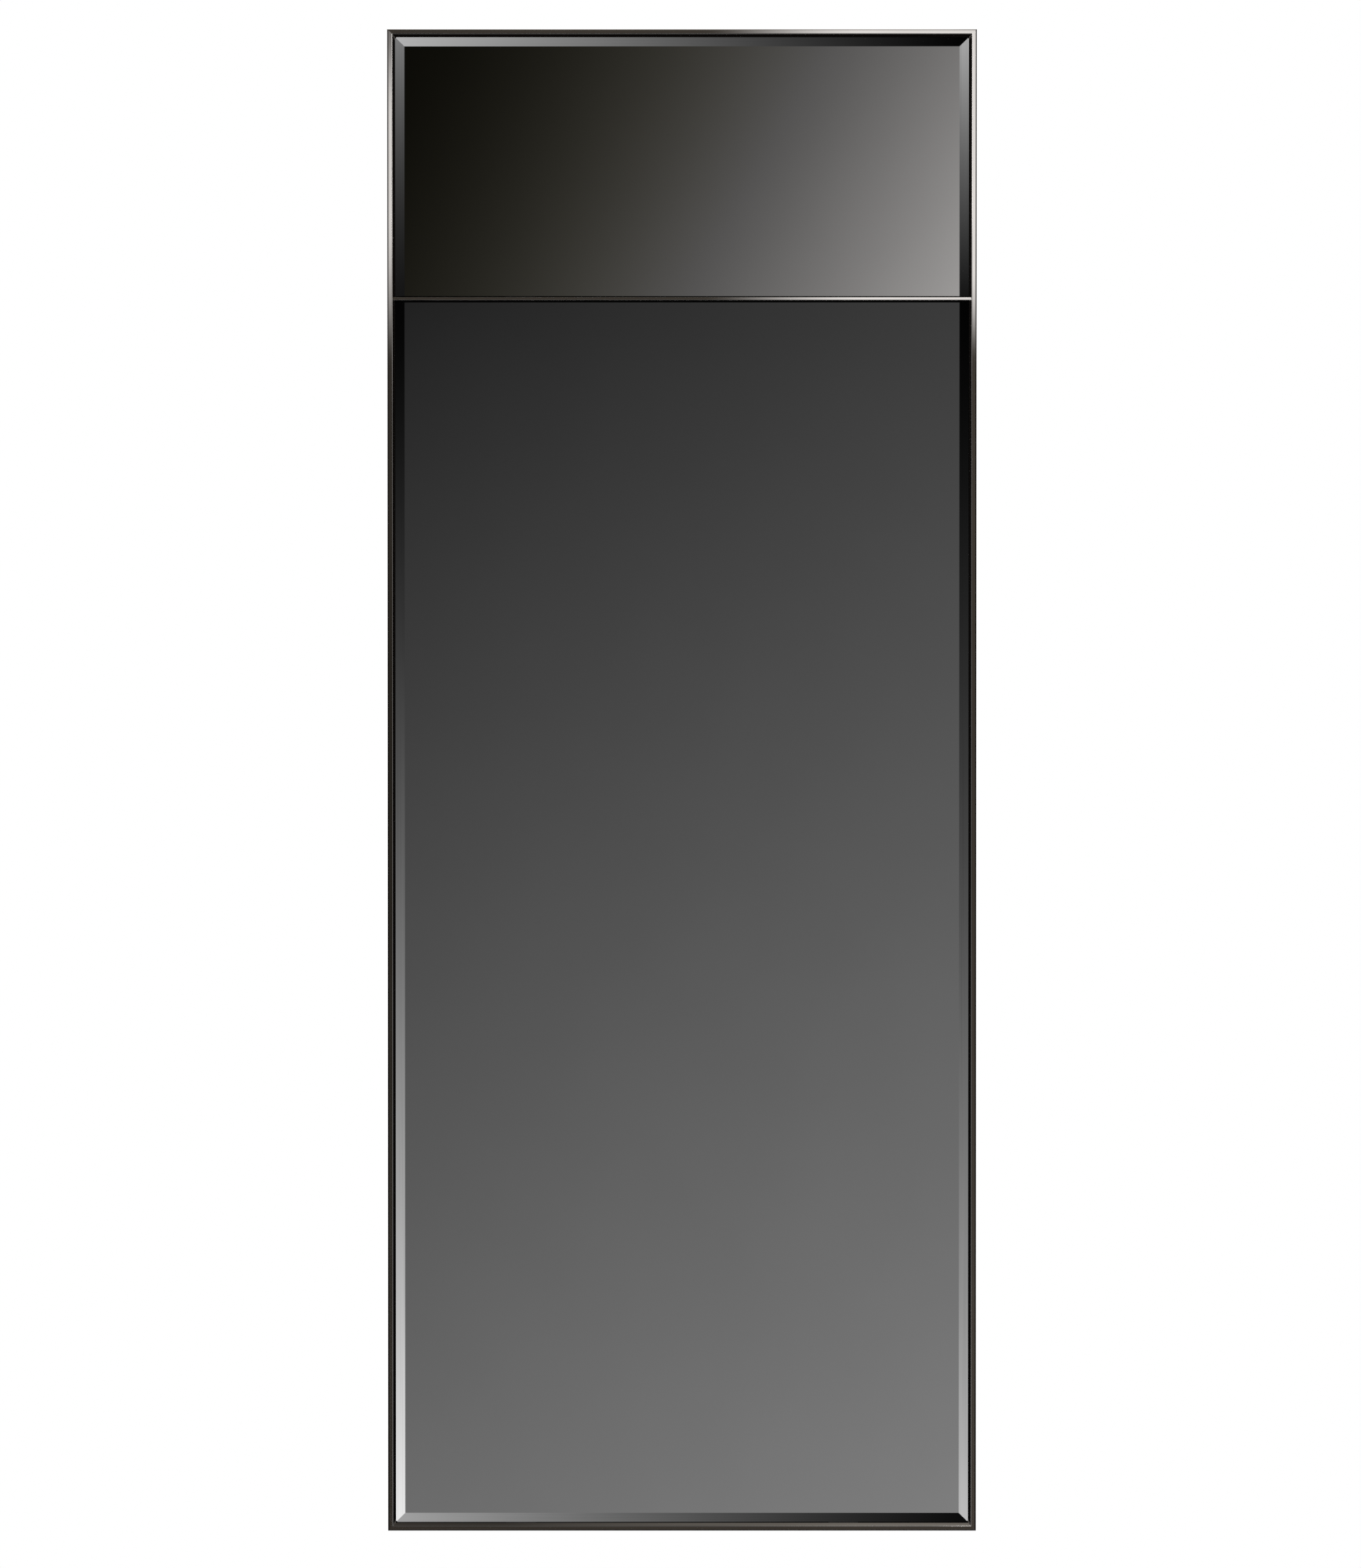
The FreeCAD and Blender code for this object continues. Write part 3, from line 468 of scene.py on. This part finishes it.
def dress_nodes():
    """Puts each finish on the nodes whose slot asks for it."""
    upright_metal = polished_metal("polished_metal_upright", True)
    level_metal = polished_metal("polished_metal_level", False)
    finishes = {
        "mirror_glass": silvered_glass(),
        "panel_wood": plywood(),
        "mill_aluminium": mill_metal(),
        "zinc_steel": zinc_plate(),
        "black_rubber": black_rubber(),
        "foam_tape": foam_tape(),
        "backing_film": backing_film(),
    }
    for name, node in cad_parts.items():
        low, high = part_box(name)
        size = high - low
        for slot in node.material_slots:
            if slot.material.name == "polished_nickel":
                slot.material = upright_metal if size.z > size.x else level_metal
            else:
                slot.material = finishes[slot.material.name]


# Studio

def add_sheet(name, corners, material):
    """A flat piece of the studio, from its corners."""
    mesh = bpy.data.meshes.new(name)
    mesh.from_pydata(corners, [], [range(len(corners))])
    mesh.materials.append(material)
    sheet = bpy.data.objects.new(name, mesh)
    scene.collection.objects.link(sheet)
    return sheet


def add_card(name, corners, material):
    """A card of the studio that shows only in reflections."""
    card = add_sheet(name, corners, material)
    for ray in ("camera", "diffuse", "transmission", "shadow"):
        setattr(card, f"visible_{ray}", False)


def upright_corners(left, right, bottom, top, depth):
    """Corners of a card that faces the mirror."""
    return [(left, depth, bottom), (right, depth, bottom), (right, depth, top), (left, depth, top)]


def level_corners(left, right, front, back, height):
    """Corners of a card that lies level."""
    return [(left, front, height), (right, front, height), (right, back, height), (left, back, height)]


def side_corners(across, front, back, bottom, top):
    """Corners of a card that stands beside the mirror, square to it."""
    return [(across, front, bottom), (across, back, bottom), (across, back, top), (across, front, top)]


def new_glow(name):
    """A material that only glows, with its node tree and its emission shader."""
    material = bpy.data.materials.new(name)
    material.use_nodes = True
    material.cycles.emission_sampling = "NONE"
    tree = material.node_tree
    tree.nodes.clear()
    glow = add(tree, "Emission")
    output = add(tree, "OutputMaterial")
    tree.links.new(glow.outputs["Emission"], output.inputs["Surface"])
    return material, tree, glow


def soften(tree, glow, presence):
    """Lets a glowing sheet fade away where its presence goes to 0."""
    clear = add(tree, "BsdfTransparent")
    mixed = add(tree, "MixShader", {0: presence, 1: clear.outputs["BSDF"], 2: glow.outputs["Emission"]})
    output = next(node for node in tree.nodes if node.type == "OUTPUT_MATERIAL")
    tree.links.new(mixed.outputs["Shader"], output.inputs["Surface"])


def add_camera():
    """The photograph's view of the mirror."""
    metres_per_pixel = (cad_high.z - cad_low.z) / (MIRROR_BOTTOM - MIRROR_TOP)
    aside = PHOTO_WIDTH / 2 - (MIRROR_LEFT + MIRROR_RIGHT) / 2
    below = PHOTO_HEIGHT / 2 - (MIRROR_TOP + MIRROR_BOTTOM) / 2
    half_height = (cad_high.z - cad_low.z) / 2
    lean = half_height ** 2 * math.tan(CAMERA_PITCH) / CAMERA_DISTANCE
    aim = Vector((
        centre.x + aside * metres_per_pixel,
        cad_low.y,
        centre.z - below * metres_per_pixel + lean,
    ))
    away = Vector((0, -math.cos(CAMERA_PITCH), math.sin(CAMERA_PITCH)))
    lens = bpy.data.cameras.new("camera")
    lens.sensor_width = SENSOR_MILLIMETRES
    lens.lens = SENSOR_MILLIMETRES * CAMERA_DISTANCE / (PHOTO_HEIGHT * metres_per_pixel)
    camera = bpy.data.objects.new("camera", lens)
    camera.location = aim + away * CAMERA_DISTANCE
    camera.rotation_euler = (math.pi / 2 - CAMERA_PITCH, 0, 0)
    scene.collection.objects.link(camera)
    scene.camera = camera
    return camera


# What each facet of the panes reflects: the darkest and lightest display tone of a graduated card,
# how much of its run goes rightwards and upwards, and how late it lightens
Graduation = namedtuple("Graduation", "dark light rightwards upwards lateness")
GRADUATIONS = {
    ("upper_mirror_pane", "face"): Graduation(12, 157, 0.8, -0.2, 1.4),
    ("upper_mirror_pane", "left"): Graduation(22, 124, 0, 1, 1.35),
    ("upper_mirror_pane", "right"): Graduation(20, 170, 0, 1, 1),
    ("upper_mirror_pane", "top"): Graduation(0, 180, -1, 0, 1),
    ("lower_mirror_pane", "face"): Graduation(32, 126, 0.23, -0.77, 0.85),
    ("lower_mirror_pane", "left"): Graduation(2, 236, 0, -1, 1.15),
    ("lower_mirror_pane", "right"): Graduation(1, 189, 0, -1, 1.25),
    ("lower_mirror_pane", "bottom"): Graduation(10, 161, -1, 0, 1),
}
# The colour of the dark end and of the rest of a card, and where the rest begins
PLAIN = ("ffffff", "ffffff")
TINTS = {("upper_mirror_pane", "face"): ("fff7cf", "fffcfa")}
TINT_END = 0.5


def feathers(pane, side):
    """How far a card fades away beyond each of its sides: least towards the other pane's card."""
    widths = dict.fromkeys(("left", "right", "bottom", "top"), WIDE_FEATHER)
    if side in ("face", "left", "right"):
        widths["bottom" if pane == "upper_mirror_pane" else "top"] = JOINT_FEATHER
    if side != "face":
        widths[side] = OUTER_FEATHER
    return widths


def graduated(name, footprint, widths, shades, tints):
    """A material that lightens in one direction, in display tones, and fades away at a card's sides."""
    left, right, bottom, top = footprint
    material, tree, glow = new_glow(name)
    place = axes(tree, places(tree))
    run_right = between(tree, place["X"], 0, shades.rightwards, start=left, end=right)
    run_up = between(tree, place["Z"], 0, shades.upwards, start=bottom, end=top)
    start = -min(shades.rightwards, 0) - min(shades.upwards, 0)
    run = calculate(tree, "ADD", run_right, run_up, start)
    share = calculate(tree, "POWER", run, shades.lateness)
    ends = [
        (tone / DISPLAY_WHITE + DISPLAY_OFFSET) / (1 + DISPLAY_OFFSET)
        for tone in (shades.dark, shades.light)
    ]
    light_level = calculate(tree, "POWER", between(tree, share, *ends), DISPLAY_POWER)
    fill(tree, glow, {
        "Color": toned(tree, share, tints, (0, TINT_END)),
        "Strength": calculate(tree, "DIVIDE", light_level, SILVER_REFLECTANCE),
    })
    fades = (
        soft_edge(tree, place["X"], left - widths["left"], left),
        soft_edge(tree, place["X"], right + widths["right"], right),
        soft_edge(tree, place["Z"], bottom - widths["bottom"], bottom),
        soft_edge(tree, place["Z"], top + widths["top"], top),
    )
    soften(tree, glow, calculate(tree, "MULTIPLY", *fades))
    return material


def facet_side(normal):
    """Which facet of a pane a normal belongs to."""
    if normal.x < -BEVEL_SLOPE:
        return "left"
    if normal.x > BEVEL_SLOPE:
        return "right"
    if normal.z > BEVEL_SLOPE:
        return "top"
    if normal.z < -BEVEL_SLOPE:
        return "bottom"
    return "face"


def front_facets(pane):
    """The corners and the normal of each facet on the front of a pane."""
    facets = {}
    for polygon in pane.data.polygons:
        if polygon.normal.y < -FACING_LIMIT:
            side = facet_side(polygon.normal)
            points, _ = facets.setdefault(side, ([], polygon.normal.copy()))
            points.extend(pane.data.vertices[index].co for index in polygon.vertices)
    return facets


def add_pane_cards(eye):
    """One graduated card where each facet's reflection of it fills the facet, as the eye sees it."""
    for pane in ("upper_mirror_pane", "lower_mirror_pane"):
        for side, (points, normal) in front_facets(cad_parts[pane]).items():
            eye_image = eye - 2 * (eye - points[0]).dot(normal) * normal
            hits = [
                point + (point - eye_image) * ((-CARD_DISTANCE - point.y) / (point.y - eye_image.y))
                for point in points
            ]
            across = [hit.x for hit in hits]
            up = [hit.z for hit in hits]
            left, right = min(across) - CARD_MARGIN, max(across) + CARD_MARGIN
            bottom, top = min(up) - CARD_MARGIN, max(up) + CARD_MARGIN
            widths = feathers(pane, side)
            name = f"{pane}_{side}_card"
            shades = GRADUATIONS[pane, side]
            tints = TINTS.get((pane, side), PLAIN)
            material = graduated(name, (left, right, bottom, top), widths, shades, tints)
            corners = upright_corners(
                left - widths["left"],
                right + widths["right"],
                bottom - widths["bottom"],
                top + widths["top"],
                -CARD_DISTANCE,
            )
            add_card(name, corners, material)


def right_light(tree, across, up):
    """How much of a large soft light at the upper right shows at a place."""
    inner_edge = (0.05, 0.45)
    lower_edge = (0.16, 0.38)
    level = 0.95
    beside = soft_edge(tree, across, *inner_edge)
    above = soft_edge(tree, up, *lower_edge)
    return calculate(tree, "MULTIPLY", beside, above, level)


def left_light(tree, across, up):
    """How much of a light at the upper left shows at a place: it dims towards its top."""
    inner_edge = (-0.7, -1.0)
    lower_edge = (0.15, 0.5)
    dimming = (0.7, 0.92)
    dimmed = 0.2
    level = 0.85
    beside = soft_edge(tree, across, *inner_edge)
    above = soft_edge(tree, up, *lower_edge)
    dimmer = between(tree, up, 1, dimmed, *dimming, smooth=True)
    return calculate(tree, "MULTIPLY", beside, above, dimmer, level)


def far_light(tree, across, up):
    """How much the room lightens towards its far sides, and towards the floor there."""
    side_edge = (1.9, 3.0)
    side_level = 0.6
    floor_side_edge = (1.5, 1.9)
    floor_edge = (-2.4, SURROUND_BOTTOM)
    floor_level = 0.85
    aside = change(tree, "ABSOLUTE", across)
    sides = calculate(tree, "MULTIPLY", soft_edge(tree, aside, *side_edge), side_level)
    floor_sides = soft_edge(tree, aside, *floor_side_edge)
    floor = calculate(tree, "MULTIPLY", soft_edge(tree, up, *floor_edge), floor_sides, floor_level)
    return calculate(tree, "MAXIMUM", sides, floor)


def dark_tones(tree, across, up):
    """The dark of the room: lighter at the right, and darkest at about two fifths of its height."""
    run = 2.2
    heights = (0.2, 0.42, 0.62)
    rise = between(tree, up, 0, 1, start=SURROUND_BOTTOM, end=SURROUND_TOP)
    left = toned(tree, rise, ("34302b", "23201b", "3a3631"), heights)
    right = toned(tree, rise, ("4a453f", "423d37", "4a453f"), heights)
    return blend(tree, soft_edge(tree, across, -run, run), left, right)


def glow_strength(tree, across, up):
    """How strongly the room glows: evenly, and many times more in a patch of the right light."""
    left_edge = (0.64, 0.72)
    right_edge = (1.02, 0.92)
    lower_edge = (0.4, 0.5)
    upper_edge = (1.05, 0.95)
    strongest = 9
    patch = calculate(
        tree,
        "MULTIPLY",
        soft_edge(tree, across, *left_edge),
        soft_edge(tree, across, *right_edge),
        soft_edge(tree, up, *lower_edge),
        soft_edge(tree, up, *upper_edge),
    )
    return between(tree, patch, 1, strongest)


def add_surround():
    """The dark room in front of the mirror, with its soft lights."""
    material, tree, glow = new_glow("surround")
    place = axes(tree, places(tree))
    across, up = place["X"], place["Z"]
    light = calculate(
        tree,
        "MAXIMUM",
        right_light(tree, across, up),
        left_light(tree, across, up),
        far_light(tree, across, up),
    )
    fill(tree, glow, {
        "Color": blend(tree, light, dark_tones(tree, across, up), colour("fffdfb")),
        "Strength": glow_strength(tree, across, up),
    })
    corners = upright_corners(
        -SURROUND_HALF_WIDTH, SURROUND_HALF_WIDTH, SURROUND_BOTTOM, SURROUND_TOP, -SURROUND_DISTANCE
    )
    add_card("surround", corners, material)


def flag(name, stops):
    """A material that turns from grey to black and then fades away, and how far forward it reaches."""
    grey_end, black_start, fade_start, gone = stops
    material, tree, glow = new_glow(name)
    place = axes(tree, places(tree))
    share = between(tree, place["Z"], 0, 1, start=cad_low.z, end=cad_high.z)
    black = toned(tree, share, ("070606", "12100f"))
    dim = toned(tree, share, ("55524f", "979491"))
    ahead = calculate(tree, "SUBTRACT", cad_low.y, place["Y"])
    blackness = soft_edge(tree, ahead, grey_end, black_start)
    fill(tree, glow, {"Color": blend(tree, blackness, dim, black)})
    soften(tree, glow, soft_edge(tree, ahead, gone, fade_start))
    return material, cad_low.y - gone


def add_flags():
    """Cards round the frame: grey for its outer walls, black for its lips and, close by, for its edges."""
    side_flag, side_front = flag("side_flag", SIDE_FLAG_STOPS)
    bottom_flag, bottom_front = flag("bottom_flag", BOTTOM_FLAG_STOPS)
    edge_flag, edge_front = flag("edge_flag", EDGE_CARD_STOPS)
    edge_back = cad_low.y + EDGE_CARD_BACK
    low, high = cad_low.z - FLAG_OVERLAP, cad_high.z + FLAG_OVERLAP
    for side, edge, outwards in (("left", cad_low.x, -1), ("right", cad_high.x, 1)):
        far = edge + outwards * SIDE_FLAG_GAP
        near = edge + outwards * EDGE_CARD_GAP
        add_card(f"{side}_flag", side_corners(far, side_front, SIDE_FLAG_BACK, low, high), side_flag)
        add_card(f"{side}_edge_card", side_corners(near, edge_front, edge_back, low, high), edge_flag)
    left, right = cad_low.x - BOTTOM_FLAG_GAP, cad_high.x + BOTTOM_FLAG_GAP
    far = cad_low.z - BOTTOM_FLAG_GAP
    near = cad_low.z - EDGE_CARD_GAP
    corners = level_corners(left, right, bottom_front, BOTTOM_FLAG_BACK, far)
    add_card("bottom_flag", corners, bottom_flag)
    add_card("bottom_edge_card", level_corners(left, right, edge_front, edge_back, near), edge_flag)


def add_dark_pool():
    """A dark pool on the floor in front, which the lip of the top rail reflects."""
    material, tree, glow = new_glow("dark_pool")
    fill(tree, glow, {"Color": colour("0d0b0a")})
    spread = add(tree, "Mapping", {
        "Vector": places(tree),
        "Location": (0, -POOL_AHEAD, SURROUND_BOTTOM),
        "Scale": (POOL_HALF_WIDTH, POOL_HALF_DEPTH, 1),
    }, vector_type="TEXTURE")
    away = add(tree, "VectorMath", {0: spread.outputs["Vector"]}, operation="LENGTH").outputs["Value"]
    soften(tree, glow, soft_edge(tree, away, POOL_SPREAD, 1))
    half_width = POOL_HALF_WIDTH * POOL_SPREAD
    corners = level_corners(-half_width, half_width, -SURROUND_DISTANCE, -ROOM_BACK, SURROUND_BOTTOM)
    add_card("dark_pool", corners, material)


def add_side_walls():
    """The sides of the room in front, which darken towards the wall of the mirror."""
    dark_start = -0.9
    material, tree, glow = new_glow("side_wall")
    depth = axes(tree, places(tree))["Y"]
    share = between(tree, depth, 1, 0, start=-SURROUND_DISTANCE, end=dark_start, smooth=True)
    fill(tree, glow, {"Color": toned(tree, share, ("2a2724", "cbc9c7"))})
    for name, across in (("left_wall", -SURROUND_HALF_WIDTH), ("right_wall", SURROUND_HALF_WIDTH)):
        corners = side_corners(across, -SURROUND_DISTANCE, -ROOM_BACK, SURROUND_BOTTOM, SURROUND_TOP)
        add_card(name, corners, material)


def add_ceiling():
    """A ceiling in front of the mirror that lightens to the right, for the lip of the bottom rail."""
    run = 0.55
    material, tree, glow = new_glow("ceiling")
    across = axes(tree, places(tree))["X"]
    share = between(tree, across, 0, 1, start=-run, end=run)
    fill(tree, glow, {"Color": toned(tree, share, ("3d3a36", "78746e"))})
    corners = level_corners(
        -SURROUND_HALF_WIDTH, SURROUND_HALF_WIDTH, -SURROUND_DISTANCE, -ROOM_BACK, SURROUND_TOP
    )
    add_card("ceiling", corners, material)


def add_back_room():
    """A graduated wall behind, which the metal on the back reflects."""
    run = (0.1, 0.9)
    material, tree, glow = new_glow("back_room")
    up = axes(tree, places(tree))["Z"]
    share = between(tree, up, 0, 1, start=SURROUND_BOTTOM, end=SURROUND_TOP)
    fill(tree, glow, {"Color": toned(tree, share, ("5c5a58", "f0efee"), run)})
    corners = upright_corners(
        -SURROUND_HALF_WIDTH, SURROUND_HALF_WIDTH, SURROUND_BOTTOM, SURROUND_TOP, SURROUND_DISTANCE
    )
    add_card("back_room", corners, material)


def add_floor():
    """A pale round floor below the mirror."""
    grain_scale = 30
    darkest, lightest = 0.86, 0.88
    roughness = 0.9
    own_light = 0.1
    material, tree, shader = new_material("floor")
    grain = noise(tree, even(grain_scale))
    fill(tree, shader, {
        "Base Color": mottled(tree, grain, grey(darkest), grey(lightest)),
        "Roughness": roughness,
        "Emission Color": grey(1),
        "Emission Strength": own_light,
    })
    angles = [2 * math.pi * side / FLOOR_SIDES for side in range(FLOOR_SIDES)]
    corners = [
        (FLOOR_RADIUS * math.cos(angle), FLOOR_RADIUS * math.sin(angle), FLOOR_HEIGHT)
        for angle in angles
    ]
    add_sheet("floor", corners, material)


def add_lamp(name, location):
    """A square soft lamp that faces the mirror and doesn't show in its reflections."""
    light = bpy.data.lights.new(name, "AREA")
    light.size = LAMP_SIZE
    light.energy = LAMP_POWER
    lamp = bpy.data.objects.new(name, light)
    lamp.location = location
    lamp.rotation_euler = (centre - Vector(location)).to_track_quat("-Z", "Y").to_euler()
    lamp.visible_glossy = False
    scene.collection.objects.link(lamp)


def set_world():
    """A white room to the camera and in reflections, and an even soft light elsewhere."""
    world = bpy.data.worlds.new("studio")
    world.use_nodes = True
    tree = world.node_tree
    ray = add(tree, "LightPath").outputs
    kinds = (ray["Is Camera Ray"], ray["Is Glossy Ray"], ray["Is Transmission Ray"])
    fill(tree, tree.nodes["Background"], {
        "Color": grey(1),
        "Strength": between(tree, calculate(tree, "MAXIMUM", *kinds), WORLD_FILL, 1),
    })
    scene.world = world


dress_nodes()
camera = add_camera()
add_pane_cards(camera.location)
add_surround()
add_flags()
add_dark_pool()
add_side_walls()
add_ceiling()
add_back_room()
add_floor()
add_lamp("front_lamp", FRONT_LAMP_PLACE)
add_lamp("back_lamp", BACK_LAMP_PLACE)
set_world()
scene.view_settings.view_transform = "Standard"
